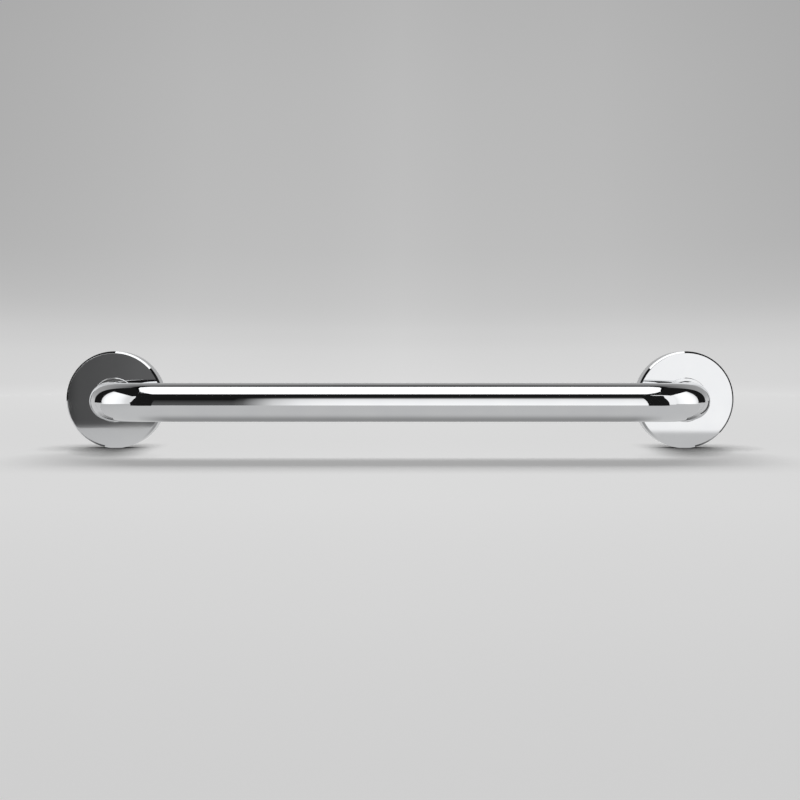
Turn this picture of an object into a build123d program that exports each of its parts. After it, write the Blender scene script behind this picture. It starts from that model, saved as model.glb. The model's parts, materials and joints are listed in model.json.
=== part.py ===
from build123d import *
from math import sqrt
import os

# A wall grab bar: a bent tube between two round wall flanges with hidden screws.
# Millimetres. The wall is the plane Y = 0 and the bar stands out from it towards -Y.
# X runs along the bar, Z is up, and the origin lies on the wall, midway between the flanges.

# Tube
flange_spacing = 500.0
tube_diameter = 32.0
tube_wall = 1.2
bend_radius = 40.0
straight_leg = 5.3
tube_setback = 1.0

# Flange cover, pressed from sheet
cover_diameter = 85.0
cover_depth = 12.0
cover_sheet = 0.8
cover_edge_bevel = 1.6
bevel_edge_radius = 0.5
cover_wall_gap = 0.3
cover_tube_clearance = 0.25
face_hollow_radius = 1500.0
collar_width = 3.0
collar_height = 1.2
collar_edge_radius = 0.6
hole_lip_depth = 2.0
hole_edge_radius = 0.4
clip_lip_reach = 0.8
clip_clearance = 0.2

# Mounting flange, welded to the tube
plate_thickness = 4.0
plate_rim_clearance = 0.3
plate_tube_clearance = 0.1
plate_front_chamfer = 0.6
weld_leg = 3.0
screw_count = 3
screw_hole_diameter = 6.5
screw_hole_edge_distance = 12.4

tube_radius = tube_diameter / 2
cover_radius = cover_diameter / 2
hole_radius = tube_radius + cover_tube_clearance
collar_radius = hole_radius + collar_width
face_radius = cover_radius - cover_edge_bevel

# The face of the cover is a shallow spherical hollow, lowest at the foot of the collar.
face_drop = sqrt(face_hollow_radius**2 - collar_radius**2) - sqrt(face_hollow_radius**2 - face_radius**2)
collar_foot_depth = cover_depth - face_drop
collar_front = collar_foot_depth + collar_height
bar_projection = collar_front + straight_leg + bend_radius

# The plate fits inside the cover's rim, and its back edge is cut away to leave room for the clip lip.
plate_radius = cover_radius - cover_sheet - plate_rim_clearance
lip_top = cover_wall_gap + cover_sheet
plate_back_chamfer = lip_top + clip_lip_reach - plate_rim_clearance + clip_clearance
screw_circle_radius = plate_radius - screw_hole_edge_distance

# The side of the frame that each flange stands on, along X.
sides = {"left": -1, "right": 1}


def flange_plane(side):
    """The wall plane of one flange: local Z leaves the wall, local X points away from the bar's middle."""
    return Plane(origin=(side * flange_spacing / 2, 0, 0), x_dir=(side, 0, 0), z_dir=(0, -1, 0))


def grab_tube():
    """One thin-walled tube, bent square at both ends, with its ends sunk in the mounting flanges."""
    half = flange_spacing / 2
    path = FilletPolyline(
        (-half, -tube_setback, 0),
        (-half, -bar_projection, 0),
        (half, -bar_projection, 0),
        (half, -tube_setback, 0),
        radius=bend_radius,
    )
    section = Circle(tube_radius) - Circle(tube_radius - tube_wall)
    start = Plane(origin=path @ 0, z_dir=path % 0)
    return sweep(start * section, path=path)


def flange_cover():
    """A sheet pressing: clip lip, rim, bevelled edge, hollow face and a low collar turned in at the tube."""
    lip_end = (cover_radius - cover_sheet - clip_lip_reach, cover_wall_gap)
    back_edge = (cover_radius, cover_wall_gap)
    rim_edge = (cover_radius, cover_depth - cover_edge_bevel)
    face_edge = (face_radius, cover_depth)
    collar_foot = (collar_radius, collar_foot_depth)
    collar_edge = (collar_radius, collar_front)
    hole_edge = (hole_radius, collar_front)
    hole_end = (hole_radius, collar_front - hole_lip_depth)
    outside = Wire(
        [
            *Polyline(lip_end, back_edge, rim_edge, face_edge).edges(),
            RadiusArc(face_edge, collar_foot, face_hollow_radius),
            *Polyline(collar_foot, collar_edge, hole_edge, hole_end).edges(),
        ]
    )
    bends = {
        rim_edge: bevel_edge_radius,
        face_edge: bevel_edge_radius,
        collar_edge: collar_edge_radius,
        hole_edge: hole_edge_radius,
    }
    for corner, radius in bends.items():
        outside = outside.fillet_2d(radius, [Vertex(*corner)])
    sheet = offset(outside, amount=cover_sheet, side=Side.LEFT, closed=True, kind=Kind.INTERSECTION)
    return revolve(Plane.XZ * make_face(sheet), axis=Axis.Z)


def mounting_flange():
    """A round plate with screw holes, a bevelled back edge and the weld that holds it to the tube."""
    bore = tube_radius + plate_tube_clearance
    section = make_face(
        Polyline(
            (bore, 0),
            (plate_radius - plate_back_chamfer, 0),
            (plate_radius, plate_back_chamfer),
            (plate_radius, plate_thickness - plate_front_chamfer),
            (plate_radius - plate_front_chamfer, plate_thickness),
            (tube_radius + weld_leg, plate_thickness),
            (tube_radius, plate_thickness + weld_leg),
            (tube_radius, plate_thickness),
            (bore, plate_thickness),
            close=True,
        )
    )
    holes = PolarLocations(screw_circle_radius, screw_count) * Cylinder(
        screw_hole_diameter / 2, plate_thickness, align=(Align.CENTER, Align.CENTER, Align.MIN)
    )
    return revolve(Plane.XZ * section, axis=Axis.Z) - holes


nodes = {"grab_tube": grab_tube()}
for name, side in sides.items():
    nodes[f"{name}_mounting_flange"] = flange_plane(side) * mounting_flange()
    nodes[f"{name}_flange_cover"] = flange_plane(side) * flange_cover()

os.makedirs("parts", exist_ok=True)
for name, solid in nodes.items():
    export_step(solid, f"parts/{name}.step")
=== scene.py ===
import json
import math

import bmesh
import bpy
from mathutils import Matrix, Vector


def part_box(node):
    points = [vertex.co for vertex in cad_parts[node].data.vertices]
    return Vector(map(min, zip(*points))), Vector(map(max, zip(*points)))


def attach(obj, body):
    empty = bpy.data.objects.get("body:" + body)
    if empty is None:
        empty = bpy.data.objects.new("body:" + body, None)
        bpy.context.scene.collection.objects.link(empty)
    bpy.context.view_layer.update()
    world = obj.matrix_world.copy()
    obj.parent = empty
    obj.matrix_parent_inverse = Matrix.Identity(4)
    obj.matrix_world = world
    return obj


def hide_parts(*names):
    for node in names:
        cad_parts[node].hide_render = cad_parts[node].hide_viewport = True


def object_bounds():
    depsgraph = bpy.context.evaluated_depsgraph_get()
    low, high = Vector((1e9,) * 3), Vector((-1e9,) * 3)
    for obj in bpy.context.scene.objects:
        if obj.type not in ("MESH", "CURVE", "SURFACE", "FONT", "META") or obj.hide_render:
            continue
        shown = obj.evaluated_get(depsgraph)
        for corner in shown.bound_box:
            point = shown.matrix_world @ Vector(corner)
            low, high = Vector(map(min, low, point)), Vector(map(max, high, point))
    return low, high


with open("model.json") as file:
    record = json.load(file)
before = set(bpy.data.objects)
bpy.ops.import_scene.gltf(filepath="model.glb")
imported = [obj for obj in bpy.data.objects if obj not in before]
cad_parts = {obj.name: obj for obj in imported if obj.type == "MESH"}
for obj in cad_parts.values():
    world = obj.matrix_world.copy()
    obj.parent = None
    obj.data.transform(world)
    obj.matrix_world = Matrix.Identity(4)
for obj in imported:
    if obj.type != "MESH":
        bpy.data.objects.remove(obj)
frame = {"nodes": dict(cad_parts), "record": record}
cad_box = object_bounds()

# Mounting flanges. Each is a round plate cut from rolled stainless sheet and welded to an end of the tube.
# The plate keeps its mill finish, and the heat of the weld has left a straw and blue ring round its bore.
# The cover hides its front, so what shows is the back that lies on the wall, with three screw holes.
mm = 0.001
sides = {"left": -1, "right": 1}
mounts = {mount["name"]: mount for mount in frame["record"]["mounts"]}
flange_offset = mounts["right_wall_screws"]["pos_m"][0]
grain_length = 30.0 * mm
grain_width = 0.5 * mm
grain_height = 0.01 * mm
tint_reach = 32.0 * mm


def linear(hex_colour):
    """An sRGB hex colour as the linear RGBA that a shader socket takes."""
    channels = [int(hex_colour[i:i + 2], 16) / 255 for i in (1, 3, 5)]
    return [c / 12.92 if c <= 0.04045 else ((c + 0.055) / 1.055) ** 2.4 for c in channels] + [1.0]


def add_node(tree, kind, settings=None, links=None):
    """Adds a node, sets its properties, inputs and colour stops, and links its inputs to other sockets."""
    node = tree.nodes.new(kind)
    for key, value in (settings or {}).items():
        if key == "stops":
            first, *between, last = value
            for element, stop in zip(node.color_ramp.elements, (first, last)):
                element.position, element.color = stop
            for place, colour in between:
                node.color_ramp.elements.new(place).color = colour
        elif isinstance(key, int) or key in node.inputs:
            node.inputs[key].default_value = value
        else:
            setattr(node, key, value)
    for key, socket in (links or {}).items():
        tree.links.new(socket, node.inputs[key])
    return node


def new_material(name):
    """A new node material, its tree and its Principled shader."""
    material = bpy.data.materials.new(name)
    material.use_nodes = True
    tree = material.node_tree
    return material, tree, tree.nodes["Principled BSDF"]


# Rolled stainless plate: a dull grey with faint streaks along the rolling direction. Real streaks are
# about 0.1 mm wide and are drawn coarser, so that they show. Weld heat tints the steel round the bore.
steel, tree, shader = new_material("rolled_stainless_plate")
shader.inputs["Metallic"].default_value = 1.0
place = add_node(tree, "ShaderNodeTexCoord").outputs["Object"]
along = add_node(
    tree, "ShaderNodeMapping",
    {"Scale": (1 / grain_length, 1 / grain_width, 1 / grain_width)}, {"Vector": place},
).outputs["Vector"]
grain = add_node(
    tree, "ShaderNodeTexNoise", {"Scale": 1.0, "Detail": 4.0, "Roughness": 0.6}, {"Vector": along}
).outputs["Fac"]
grey = add_node(
    tree, "ShaderNodeValToRGB",
    {"stops": [(0.3, linear("#8D8C89")), (0.7, linear("#B0AFAC"))]}, {"Fac": grain},
).outputs["Color"]
parted = add_node(tree, "ShaderNodeSeparateXYZ", links={"Vector": place}).outputs
outward = add_node(tree, "ShaderNodeMath", {"operation": "ABSOLUTE"}, {0: parted["X"]}).outputs[0]
in_plate = add_node(tree, "ShaderNodeCombineXYZ", links={"X": outward, "Z": parted["Z"]}).outputs[0]
from_bore = add_node(
    tree, "ShaderNodeVectorMath", {"operation": "DISTANCE", 1: (flange_offset, 0, 0)}, {0: in_plate}
).outputs["Value"]
heat = add_node(
    tree, "ShaderNodeMapRange", {"From Max": tint_reach}, {"Value": from_bore}
).outputs["Result"]
tint = add_node(
    tree, "ShaderNodeValToRGB",
    {"stops": [
        (0.52, linear("#B9B4AC")), (0.60, linear("#8E93B4")), (0.66, linear("#A58AA0")),
        (0.74, linear("#D9B57C")), (0.86, linear("#F0E4CC")), (1.0, linear("#FFFFFF")),
    ]},
    {"Fac": heat},
).outputs["Color"]
tinted = add_node(tree, "ShaderNodeVectorMath", {"operation": "MULTIPLY"}, {0: grey, 1: tint}).outputs[0]
dullness = add_node(
    tree, "ShaderNodeMapRange", {"To Min": 0.30, "To Max": 0.48}, {"Value": grain}
).outputs["Result"]
relief = add_node(
    tree, "ShaderNodeBump", {"Strength": 0.5, "Distance": grain_height}, {"Height": grain}
).outputs["Normal"]
tree.links.new(tinted, shader.inputs["Base Color"])
tree.links.new(dullness, shader.inputs["Roughness"])
tree.links.new(relief, shader.inputs["Normal"])
for side in sides:
    plate_materials = frame["nodes"][f"{side}_mounting_flange"].data.materials
    plate_materials.clear()
    plate_materials.append(steel)

# Grab tube. One length of thin-walled stainless tube, bent square at each end on a mandrel,
# then buffed and chrome plated to a mirror. Its ends are sunk in the mounting flanges and welded there.
tube_radius = 16.0 * mm
tube_wall = 1.2 * mm
bend_radius = 40.0 * mm
tube_setback = 1.0 * mm
bar_projection = -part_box("grab_tube")[0][1] - tube_radius
tube_sides = 128
bend_steps = 64
merge_distance = 0.001 * mm


def mesh_object(name, bm, smooth=True):
    """A new object at the origin with the bmesh as its mesh."""
    mesh = bpy.data.meshes.new(name)
    bm.to_mesh(mesh)
    bm.free()
    for polygon in mesh.polygons:
        polygon.use_smooth = smooth
    piece = bpy.data.objects.new(name, mesh)
    bpy.context.scene.collection.objects.link(piece)
    return piece


def push_edges(bm, edges, shift):
    """Extrudes edges along a straight run and returns the edges at its far end."""
    made = bmesh.ops.extrude_edge_only(bm, edges=edges)["geom"]
    verts = [g for g in made if isinstance(g, bmesh.types.BMVert)]
    bmesh.ops.translate(bm, verts=verts, vec=shift)
    return [g for g in made if isinstance(g, bmesh.types.BMEdge) and all(v in verts for v in g.verts)]


def bend_edges(bm, edges, centre):
    """Turns edges through a right angle about an upright axis and returns the edges at the far end."""
    made = bmesh.ops.spin(
        bm, geom=edges, cent=centre, axis=(0, 0, 1), angle=math.pi / 2, steps=bend_steps, use_merge=False
    )
    return [g for g in made["geom_last"] if isinstance(g, bmesh.types.BMEdge)]


def close_seams(bm):
    """Merges the doubles that a spin leaves and turns all faces outwards."""
    bmesh.ops.remove_doubles(bm, verts=bm.verts, dist=merge_distance)
    bmesh.ops.recalc_face_normals(bm, faces=bm.faces)


bm = bmesh.new()
leg = bar_projection - bend_radius
bend_x = flange_offset - bend_radius
end_turn = Matrix.Translation((-flange_offset, -tube_setback, 0)) @ Matrix.Rotation(math.pi / 2, 4, "X")
bmesh.ops.create_circle(bm, cap_ends=False, segments=tube_sides, radius=tube_radius, matrix=end_turn)
ring = push_edges(bm, bm.edges[:], (0, tube_setback - leg, 0))
ring = bend_edges(bm, ring, (-bend_x, -leg, 0))
ring = push_edges(bm, ring, (2 * bend_x, 0, 0))
ring = bend_edges(bm, ring, (bend_x, -leg, 0))
push_edges(bm, ring, (0, leg - tube_setback, 0))
close_seams(bm)
tube = mesh_object("polished_grab_tube", bm)
wall = tube.modifiers.new("wall", "SOLIDIFY")
wall.thickness = tube_wall
wall.offset = -1.0
wall.material_offset = 1
wall.material_offset_rim = 1
tube.modifiers.new("even_normals", "WEIGHTED_NORMAL")
# The mirror throws no specks of light on the paper.
tube.visible_diffuse = False
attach(tube, "root")
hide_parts("grab_tube")

# Chrome plate on buffed steel: a bright neutral mirror, very slightly blue. Buffing leaves a faint haze
# in patches, and the plate has a slight orange peel that is far too shallow to bend a reflection much.
haze_size = 25.0 * mm
peel_size = 3.0 * mm
peel_height = 0.0002 * mm
chrome, tree, shader = new_material("chrome_plate")
shader.inputs["Metallic"].default_value = 1.0
place = add_node(tree, "ShaderNodeTexCoord").outputs["Object"]
haze = add_node(
    tree, "ShaderNodeTexNoise", {"Scale": 1 / haze_size, "Detail": 3.0}, {"Vector": place}
).outputs["Fac"]
silver = add_node(
    tree, "ShaderNodeValToRGB",
    {"stops": [(0.3, linear("#DADBDD")), (0.7, linear("#DEDFE0"))]}, {"Fac": haze},
).outputs["Color"]
gloss = add_node(
    tree, "ShaderNodeMapRange",
    {"From Min": 0.3, "From Max": 0.7, "To Min": 0.015, "To Max": 0.045}, {"Value": haze},
).outputs["Result"]
peel = add_node(
    tree, "ShaderNodeTexNoise", {"Scale": 1 / peel_size, "Detail": 1.0}, {"Vector": place}
).outputs["Fac"]
relief = add_node(
    tree, "ShaderNodeBump", {"Strength": 1.0, "Distance": peel_height}, {"Height": peel}
).outputs["Normal"]
tree.links.new(silver, shader.inputs["Base Color"])
tree.links.new(gloss, shader.inputs["Roughness"])
tree.links.new(relief, shader.inputs["Normal"])

# Drawn steel inside the tube and the covers, where no polish or plate reaches: dull, grey and mottled.
mottle_size = 1.5 * mm
inside_steel, tree, shader = new_material("bare_steel_inside")
shader.inputs["Metallic"].default_value = 1.0
place = add_node(tree, "ShaderNodeTexCoord").outputs["Object"]
mottle = add_node(
    tree, "ShaderNodeTexNoise",
    {"Scale": 1 / mottle_size, "Detail": 4.0, "Roughness": 0.65}, {"Vector": place},
).outputs["Fac"]
grey = add_node(
    tree, "ShaderNodeValToRGB",
    {"stops": [(0.3, linear("#7C7B79")), (0.7, linear("#A3A29F"))]}, {"Fac": mottle},
).outputs["Color"]
dullness = add_node(
    tree, "ShaderNodeMapRange", {"To Min": 0.35, "To Max": 0.6}, {"Value": mottle}
).outputs["Result"]
tree.links.new(grey, shader.inputs["Base Color"])
tree.links.new(dullness, shader.inputs["Roughness"])
tube.data.materials.append(chrome)
tube.data.materials.append(inside_steel)

# Flange covers. Each is a round cap pressed from thin sheet and chrome plated like the tube, with a
# bevelled edge, a very slightly hollow face and a low collar turned in at the tube. A lip inside its
# rim clips over the plate.
cover_radius = 42.5 * mm
cover_depth = 12.0 * mm
cover_sheet = 0.8 * mm
cover_edge_bevel = 1.6 * mm
cover_wall_gap = 0.3 * mm
face_hollow_radius = 1500.0 * mm
collar_radius = 19.25 * mm
collar_height = 1.2 * mm
hole_radius = 16.25 * mm
hole_lip_depth = 2.0 * mm
clip_lip_width = 1.6 * mm
back_rounding = 0.3 * mm
bevel_rounding = 0.2 * mm
collar_foot_rounding = 0.2 * mm
collar_rounding = 0.6 * mm
hole_rounding = 0.4 * mm
cover_steps = 192
corner_steps = 10
face_cuts = 15
collar_front = cover_depth + collar_height
face_radius = cover_radius - cover_edge_bevel
outline = [
    ((cover_radius - clip_lip_width, cover_wall_gap), 0),
    ((cover_radius, cover_wall_gap), back_rounding),
    ((cover_radius, cover_depth - cover_edge_bevel), bevel_rounding),
    ((face_radius, cover_depth), bevel_rounding),
    ((collar_radius, cover_depth), collar_foot_rounding),
    ((collar_radius, collar_front), collar_rounding),
    ((hole_radius, collar_front), hole_rounding),
    ((hole_radius, collar_front - hole_lip_depth), 0),
]


def hollow_depth(radius):
    """How far the hollow lowers the front at a radius: nothing at the bevel, and all of it at the collar."""
    radius = min(max(radius, collar_radius), face_radius)
    return math.sqrt(face_hollow_radius**2 - radius**2) - math.sqrt(face_hollow_radius**2 - face_radius**2)


for side, sign in sides.items():
    bm = bmesh.new()
    corners = [bm.verts.new((radius, -height, 0)) for (radius, height), _ in outline]
    for start, end in zip(corners, corners[1:]):
        bm.edges.new((start, end))
    for corner, (_, rounding) in zip(corners, outline):
        if rounding:
            bmesh.ops.bevel(
                bm, geom=[corner], offset=rounding, offset_type="OFFSET", segments=corner_steps,
                profile=0.5, affect="VERTICES", material=-1,
            )
    # The longest line of the outline is the face. It is cut up so that it can follow the hollow,
    # and the collar, which is in the front half of the depth too, moves with it.
    face_line = max(bm.edges, key=lambda edge: edge.calc_length())
    bmesh.ops.subdivide_edges(bm, edges=[face_line], cuts=face_cuts)
    for vert in bm.verts:
        if -vert.co.y > cover_depth / 2:
            vert.co.y += hollow_depth(vert.co.x)
    bmesh.ops.spin(
        bm, geom=bm.edges[:] + bm.verts[:], cent=(0, 0, 0), axis=(0, 1, 0), angle=2 * math.pi,
        steps=cover_steps, use_merge=True,
    )
    close_seams(bm)
    bmesh.ops.translate(bm, verts=bm.verts, vec=(sign * flange_offset, 0, 0))
    cover = mesh_object(f"{side}_chrome_cover", bm)
    sheet = cover.modifiers.new("sheet", "SOLIDIFY")
    sheet.thickness = cover_sheet
    sheet.offset = -1.0
    sheet.material_offset = 1
    cover.modifiers.new("even_normals", "WEIGHTED_NORMAL")
    cover.visible_diffuse = False
    cover.data.materials.append(chrome)
    cover.data.materials.append(inside_steel)
    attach(cover, "root")
    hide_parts(f"{side}_flange_cover")

# Studio floor and backdrop: one sweep of pale paper that rises all round the bar, lit by the lamp behind it.
# It also has a painted glow, brightest where the floor turns up into the wall and fading upwards and to the
# sides.
# Painted contact shade darkens the paper in the narrow space under a cover, where little light gets in.
floor_level = cad_box[0][2]
floor_radius = 2.2
wall_top = 4.0
cove_radius = 0.8
cove_steps = 24
sweep_steps = 96
contact_reach = 40.0 * mm
contact_depth = 2.2
contact_samples = 4
contact_start = flange_offset - 42.0 * mm
contact_full = flange_offset - 8.0 * mm
paper_glow = [
    (0.0, 0.39), (1.35, 0.39), (1.6, 0.465), (1.8, 0.6), (1.9, 0.62), (2.0, 0.575), (2.15, 0.53),
    (2.4, 0.495), (3.1, 0.36), (4.6, 0.08),
]
front_fade = [(-0.6, 0.83), (-0.5, 0.91), (-0.3, 1.0), (-0.1, 1.0), (0.05, 0.96), (0.5, 0.96), (1.4, 1.0)]
side_fade = [(0.0, 1.0), (0.25, 0.965), (0.66, 0.95), (1.4, 0.8)]


def glow_along(tree, distance, levels, peak=1.0):
    """Brightness, as a share of a peak, that passes through the levels given at places along a distance."""
    start, end = levels[0][0], levels[-1][0]
    share = add_node(
        tree, "ShaderNodeMapRange", {"From Min": start, "From Max": end}, {"Value": distance}
    ).outputs["Result"]
    stops = [((place - start) / (end - start), [level / peak] * 3 + [1]) for place, level in levels]
    return add_node(tree, "ShaderNodeValToRGB", {"stops": stops}, {"Fac": share}).outputs["Color"]


bm = bmesh.new()
points = [bm.verts.new(p) for p in ((0, 0, 0), (floor_radius, 0, 0), (floor_radius, 0, wall_top))]
bm.edges.new(points[:2])
bm.edges.new(points[1:])
bmesh.ops.bevel(
    bm, geom=[points[1]], offset=cove_radius, offset_type="OFFSET", segments=cove_steps, profile=0.5,
    affect="VERTICES", material=-1,
)
bmesh.ops.spin(
    bm, geom=bm.edges[:] + bm.verts[:], cent=(0, 0, 0), axis=(0, 0, 1), angle=2 * math.pi,
    steps=sweep_steps, use_merge=True,
)
close_seams(bm)
bmesh.ops.translate(bm, verts=bm.verts, vec=(0, 0, floor_level))
floor = mesh_object("studio_floor", bm)
# The lamp stands outside the sweep, so the paper lets its light through.
floor.visible_shadow = False
floor.visible_diffuse = False

# Matt backdrop paper with a painted glow. The painted contact shade darkens its glow and its colour alike,
# and only near the covers, so that the lamp's shadow is all that the bar's middle leaves on the floor. In a
# Mix node, inputs 2 and 3 are the two numbers that it mixes, and 6 and 7 the two colours.
paper, tree, shader = new_material("backdrop_paper")
shader.inputs["Roughness"].default_value = 0.9
shader.inputs["Specular IOR Level"].default_value = 0.0
shader.inputs["Emission Strength"].default_value = 1.0
place = add_node(tree, "ShaderNodeTexCoord").outputs["Object"]
distance = add_node(tree, "ShaderNodeVectorMath", {"operation": "LENGTH"}, {0: place}).outputs["Value"]
parted = add_node(tree, "ShaderNodeSeparateXYZ", links={"Vector": place}).outputs
outward = add_node(tree, "ShaderNodeMath", {"operation": "ABSOLUTE"}, {0: parted["X"]}).outputs[0]
# Painted contact shade: how open the paper is near each cover, raised to a power, and nothing away from the
# covers.
near_cover = glow_along(tree, outward, [(contact_start, 0.0), (contact_full, 1.0)])
openness = add_node(
    tree, "ShaderNodeAmbientOcclusion", {"samples": contact_samples, "Distance": contact_reach}
).outputs["AO"]
openness = add_node(tree, "ShaderNodeMix", {2: 1.0}, {0: near_cover, 3: openness}).outputs[0]
painted_contact_shade = add_node(
    tree, "ShaderNodeMath", {"operation": "POWER", 1: contact_depth}, {0: openness}
).outputs[0]
# Painted glow of the paper: brightest at the cove, fading to the front, to the sides and upwards, and
# darkened by the painted contact shade.
glow = glow_along(tree, distance, paper_glow)
for share in (glow_along(tree, parted["Y"], front_fade), glow_along(tree, outward, side_fade), painted_contact_shade):
    glow = add_node(tree, "ShaderNodeVectorMath", {"operation": "MULTIPLY"}, {0: glow, 1: share}).outputs[0]
# The paper's colour is darkened by the same painted contact shade.
paper_colour_with_painted_shade = add_node(
    tree, "ShaderNodeVectorMath", {"operation": "SCALE", 0: linear("#D9D9D9")[:3]}, {"Scale": painted_contact_shade}
).outputs[0]
tree.links.new(paper_colour_with_painted_shade, shader.inputs["Base Color"])
tree.links.new(glow, shader.inputs["Emission Color"])
floor.data.materials.append(paper)

# Key lamp: one very wide lamp far behind the bar, which lays the tube's shadow on the floor in front of it.
# Only the tube is set to block it, because the covers' shade is the paper's painted contact shade.
key_place = Vector((0, 16.8, 10.84))
key_width = 24.0
key_depth = 5.0
key_power = 4120.0
key_data = bpy.data.lights.new("back_key", "AREA")
key_data.shape = "RECTANGLE"
key_data.size = key_width
key_data.size_y = key_depth
key_data.energy = key_power
key = bpy.data.objects.new("back_key", key_data)
key.location = key_place
key.rotation_euler = (-key_place).to_track_quat("-Z", "Y").to_euler()
key.visible_glossy = False
bpy.context.scene.collection.objects.link(key)
key_blockers = bpy.data.collections.new("key_blockers")
key_blockers.objects.link(tube)
key.light_linking.blocker_collection = key_blockers

# Overhead soft box, higher and wider at the back. It and the cards below are there for the chrome, which
# shows little but its surroundings: only reflections see them, and they light nothing else.
softbox_level = 1.6
softbox_outline = [(-0.7, 0.83, 0.5), (-0.21, 0.948, 0.5), (0.0, 1.0, 0.535), (0.262, 1.063, 0.525)]


def stage_card(name, bm, level):
    """Makes a mesh a glowing card that only reflections see, and gives its places, node tree and shader."""
    card = mesh_object(name, bm, smooth=False)
    material, tree, shader = new_material(name)
    shader.inputs["Base Color"].default_value = linear("#000000")
    shader.inputs["Specular IOR Level"].default_value = 0.0
    shader.inputs["Emission Color"].default_value = linear("#FFFFFF")
    shader.inputs["Emission Strength"].default_value = level
    card.data.materials.append(material)
    card.visible_camera = False
    card.visible_diffuse = False
    card.visible_shadow = False
    place = add_node(tree, "ShaderNodeTexCoord").outputs["Object"]
    return add_node(tree, "ShaderNodeSeparateXYZ", links={"Vector": place}).outputs, tree, shader


bm = bmesh.new()
left_edge = [bm.verts.new((-half_width, y, z)) for y, z, half_width in softbox_outline]
right_edge = [bm.verts.new((half_width, y, z)) for y, z, half_width in softbox_outline]
bm.faces.new(left_edge + right_edge[::-1])
stage_card("overhead_softbox", bm, softbox_level)

# Black drape. It hangs round the front and the sides, and leaves only the backdrop open behind the bar,
# so that the polish gets the dark bands that make chrome look hard.
drape_radius = 1.05
drape_top = 2.2
drape_turn = math.radians(107)
drape_steps = 48
drape_level = 0.012
bm = bmesh.new()
drape_end = (-drape_radius * math.sin(drape_turn), -drape_radius * math.cos(drape_turn))
bm.edges.new([bm.verts.new((*drape_end, height)) for height in (floor_level, drape_top)])
bmesh.ops.spin(
    bm, geom=bm.edges[:] + bm.verts[:], cent=(0, 0, 0), axis=(0, 0, 1), angle=2 * drape_turn,
    steps=drape_steps, use_merge=False,
)
stage_card("black_drape", bm, drape_level)

# Front board: a low board before the bar, dark on the left and white on the right, with a soft top.
# It gives the band of light along the middle of the tube.
board_y = -0.227
board_reach = 0.25
board_top = 0.10
board_level = 1.3
board_white = [
    (floor_level, 1.27), (-0.02, 1.27), (0.025, 1.18), (0.055, 1.05), (0.065, 0.88), (0.085, 0.13),
    (board_top, 0.03),
]
board_dark = [(floor_level, 0.12), (0.005, 0.08), (0.055, 0.01), (board_top, 0.012)]
board_fade = [(-0.165, 0.0), (-0.155, 0.05), (-0.125, 0.65), (-0.1, 0.9), (-0.05, 1.0)]


def upright_card(name, ends, top, level, foot=floor_level):
    """A stage card that stands on the line between two ends and reaches from its foot to its top."""
    bm = bmesh.new()
    line = bm.edges.new([bm.verts.new((x, y, foot)) for x, y in ends])
    push_edges(bm, [line], (0, 0, top - foot))
    return stage_card(name, bm, level)


places, tree, shader = upright_card(
    "front_board", ((-board_reach, board_y), (board_reach, board_y)), board_top, board_level
)
white = glow_along(tree, places["Z"], board_white, board_level)
dark = glow_along(tree, places["Z"], board_dark, board_level)
fade = glow_along(tree, places["X"], board_fade)
both = add_node(tree, "ShaderNodeMix", {"data_type": "RGBA"}, {0: fade, 6: dark, 7: white}).outputs[2]
tree.links.new(both, shader.inputs["Emission Color"])

# Cards for the covers' faces: a dark one on the left and a white one on the right, both soft at the foot.
# The left bend sees more white, above the dark card, where the cover's face does not look.
dark_card_y = -0.40
dark_card_ends = (-0.42, -0.27)
dark_card_across = [(-0.42, 0.05), (-0.41, 0.093), (-0.38, 0.108), (-0.36, 0.132), (-0.27, 0.14)]
dark_card_foot = [(floor_level, 3.2), (-0.0405, 2.0), (-0.0385, 1.15), (-0.035, 1.0)]
dark_card_top = 0.10
dark_card_level = dark_card_foot[0][1]
places, tree, shader = upright_card(
    "dark_card", [(x, dark_card_y) for x in dark_card_ends], dark_card_top, dark_card_level
)
across = glow_along(tree, places["X"], dark_card_across)
foot = glow_along(tree, places["Z"], dark_card_foot, dark_card_level)
both = add_node(tree, "ShaderNodeVectorMath", {"operation": "MULTIPLY"}, {0: across, 1: foot}).outputs[0]
tree.links.new(both, shader.inputs["Emission Color"])

white_card_y = -0.26
white_card_ends = (0.28, 0.40)
white_card_level = 1.2
white_card_foot = [(floor_level, 0.66), (-0.041, 0.68), (-0.0375, 1.18), (-0.03, 1.2)]
white_card_top = 0.20
places, tree, shader = upright_card(
    "white_card", [(x, white_card_y) for x in white_card_ends], white_card_top, white_card_level
)
foot = glow_along(tree, places["Z"], white_card_foot, white_card_level)
tree.links.new(foot, shader.inputs["Emission Color"])

upper_card_y = -0.399
upper_card_ends = (-0.43, -0.355)
upper_card_foot = 0.03
upper_card_top = 0.278
upper_card_level = 1.0
upper_line = [(x, upper_card_y) for x in upper_card_ends]
upright_card("upper_card", upper_line, upper_card_top, upper_card_level, upper_card_foot)

# Floor boards: glowing stand-ins for the paper, which the lower half of the tube and of the covers shows.
# The one under the bar has a painted shadow like the floor's, and the one before the left cover greys
# outwards.
under_front = -0.75
under_back = 0.35
under_reach = 0.26
under_gap = 0.3 * mm
under_level = 0.68
# Painted shadow of the bar in the board's glow, darkest just below and behind the bar.
under_glow_and_painted_shadow = [
    (under_front, 0.66), (-0.085, 0.645), (-0.075, 0.59), (-0.0635, 0.42), (-0.052, 0.335), (-0.02, 0.35),
    (0.06, 0.66), (under_back, 0.68),
]
under_fade = [(-0.26, 0.0), (-0.225, 0.0), (-0.2, 1.0), (0.2, 1.0), (0.225, 0.0), (0.26, 0.0)]
side_board_reach = 0.62
side_board_back = -0.035
side_board_level = 0.655
left_board_fade = [(-side_board_reach, 0.886), (-0.4, 0.909), (-under_reach, 1.0)]


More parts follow.
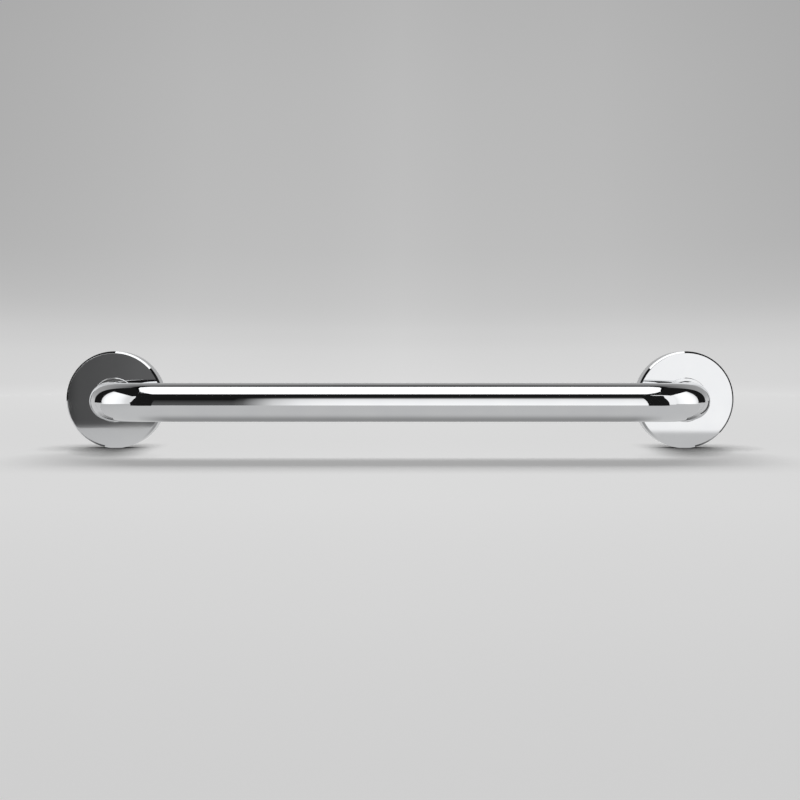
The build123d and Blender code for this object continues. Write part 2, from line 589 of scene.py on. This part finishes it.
def floor_card(name, ends, back, level):
    """A stage card that lies just above the paper between two places along X, as far as its back."""
    bm = bmesh.new()
    line = bm.edges.new([bm.verts.new((x, under_front, floor_level + under_gap)) for x in ends])
    push_edges(bm, [line], (0, back - under_front, 0))
    return stage_card(name, bm, level)


places, tree, shader = floor_card("floor_board", (-under_reach, under_reach), under_back, under_level)
along = glow_along(tree, places["Y"], under_glow_and_painted_shadow, under_level)
fade = glow_along(tree, places["X"], under_fade)
bright = [under_glow_and_painted_shadow[0][1] / under_level] * 3 + [1]
both = add_node(
    tree, "ShaderNodeMix", {"data_type": "RGBA", 6: bright}, {0: fade, 7: along}
).outputs[2]
tree.links.new(both, shader.inputs["Emission Color"])
floor_card("right_floor_board", (under_reach, side_board_reach), side_board_back, side_board_level)
places, tree, shader = floor_card(
    "left_floor_board", (-under_reach, -side_board_reach), side_board_back, side_board_level
)
fade = glow_along(tree, places["X"], left_board_fade)
tree.links.new(fade, shader.inputs["Emission Color"])

# Side cards at each end of the bar: a white panel at the side, a small black flag in front of the bend
# and another beside the cover, which keeps the panel's light off the cover's edge. A grey flag behind
# that one draws the lower half of the right cover's edge.
panel_front = (0.482, -0.50)
panel_back = (0.60, -0.05)
panel_top = 0.346
panel_level = 1.45
panel_glow = [
    (panel_front[1], 0.9), (-0.41, 1.0), (-0.32, 1.3), (-0.193, 1.45), (-0.10, 1.3), (panel_back[1], 0.9),
]
bend_flag_y = -0.115
bend_flag_outline = [
    (0.2122, -0.0145), (0.2424, -0.0145), (0.2398, 0.004), (0.232, 0.029), (0.233, 0.045), (0.2065, 0.045),
]
edge_flag_ends = ((0.302, -0.0343), (0.358, -0.0105))
edge_flag_top = 0.09
rim_flag_ends = ((0.302, -0.012), (0.302, 0.006))
rim_flag_top = 0.0
rim_flag_level = 0.1
for side, sign in sides.items():
    places, tree, shader = upright_card(
        f"{side}_white_panel", [(sign * x, y) for x, y in (panel_front, panel_back)], panel_top, panel_level
    )
    glow = glow_along(tree, places["Y"], panel_glow, panel_level)
    tree.links.new(glow, shader.inputs["Emission Color"])
    bm = bmesh.new()
    bm.faces.new([bm.verts.new((sign * x, bend_flag_y, z)) for x, z in bend_flag_outline])
    stage_card(f"{side}_bend_flag", bm, drape_level)
    upright_card(
        f"{side}_edge_flag", [(sign * x, y) for x, y in edge_flag_ends], edge_flag_top, drape_level
    )
upright_card("right_rim_flag", rim_flag_ends, rim_flag_top, rim_flag_level)

# The rest of the studio is almost dark, and adds only a trace of light to the bare steel.
world = bpy.data.worlds.new("studio_dark")
bpy.context.scene.world = world
world.use_nodes = True
background = world.node_tree.nodes["Background"]
background.inputs["Color"].default_value = linear("#101010")
background.inputs["Strength"].default_value = 1.0

# Camera, square to the wall and a little above the bar. Its distance puts the covers' faces at their
# size in the picture, and its slight tilt puts the horizon at its height there.
focal_px = 850.0
px_per_mm = 1.144
image_px = 800
camera_distance = focal_px / px_per_mm * mm + cover_depth
camera_height = 34.0 * mm
horizon_px = 39.0
camera_data = bpy.data.cameras.new("camera")
camera_data.sensor_width = 36.0
camera_data.lens = camera_data.sensor_width * focal_px / image_px
camera_data.clip_start = 0.01
camera = bpy.data.objects.new("camera", camera_data)
camera.location = (0, -camera_distance, camera_height)
camera.rotation_euler = (math.pi / 2 - math.atan(horizon_px / focal_px), 0, 0)
bpy.context.scene.collection.objects.link(camera)
bpy.context.scene.camera = camera
bpy.context.scene.view_settings.view_transform = "Standard"
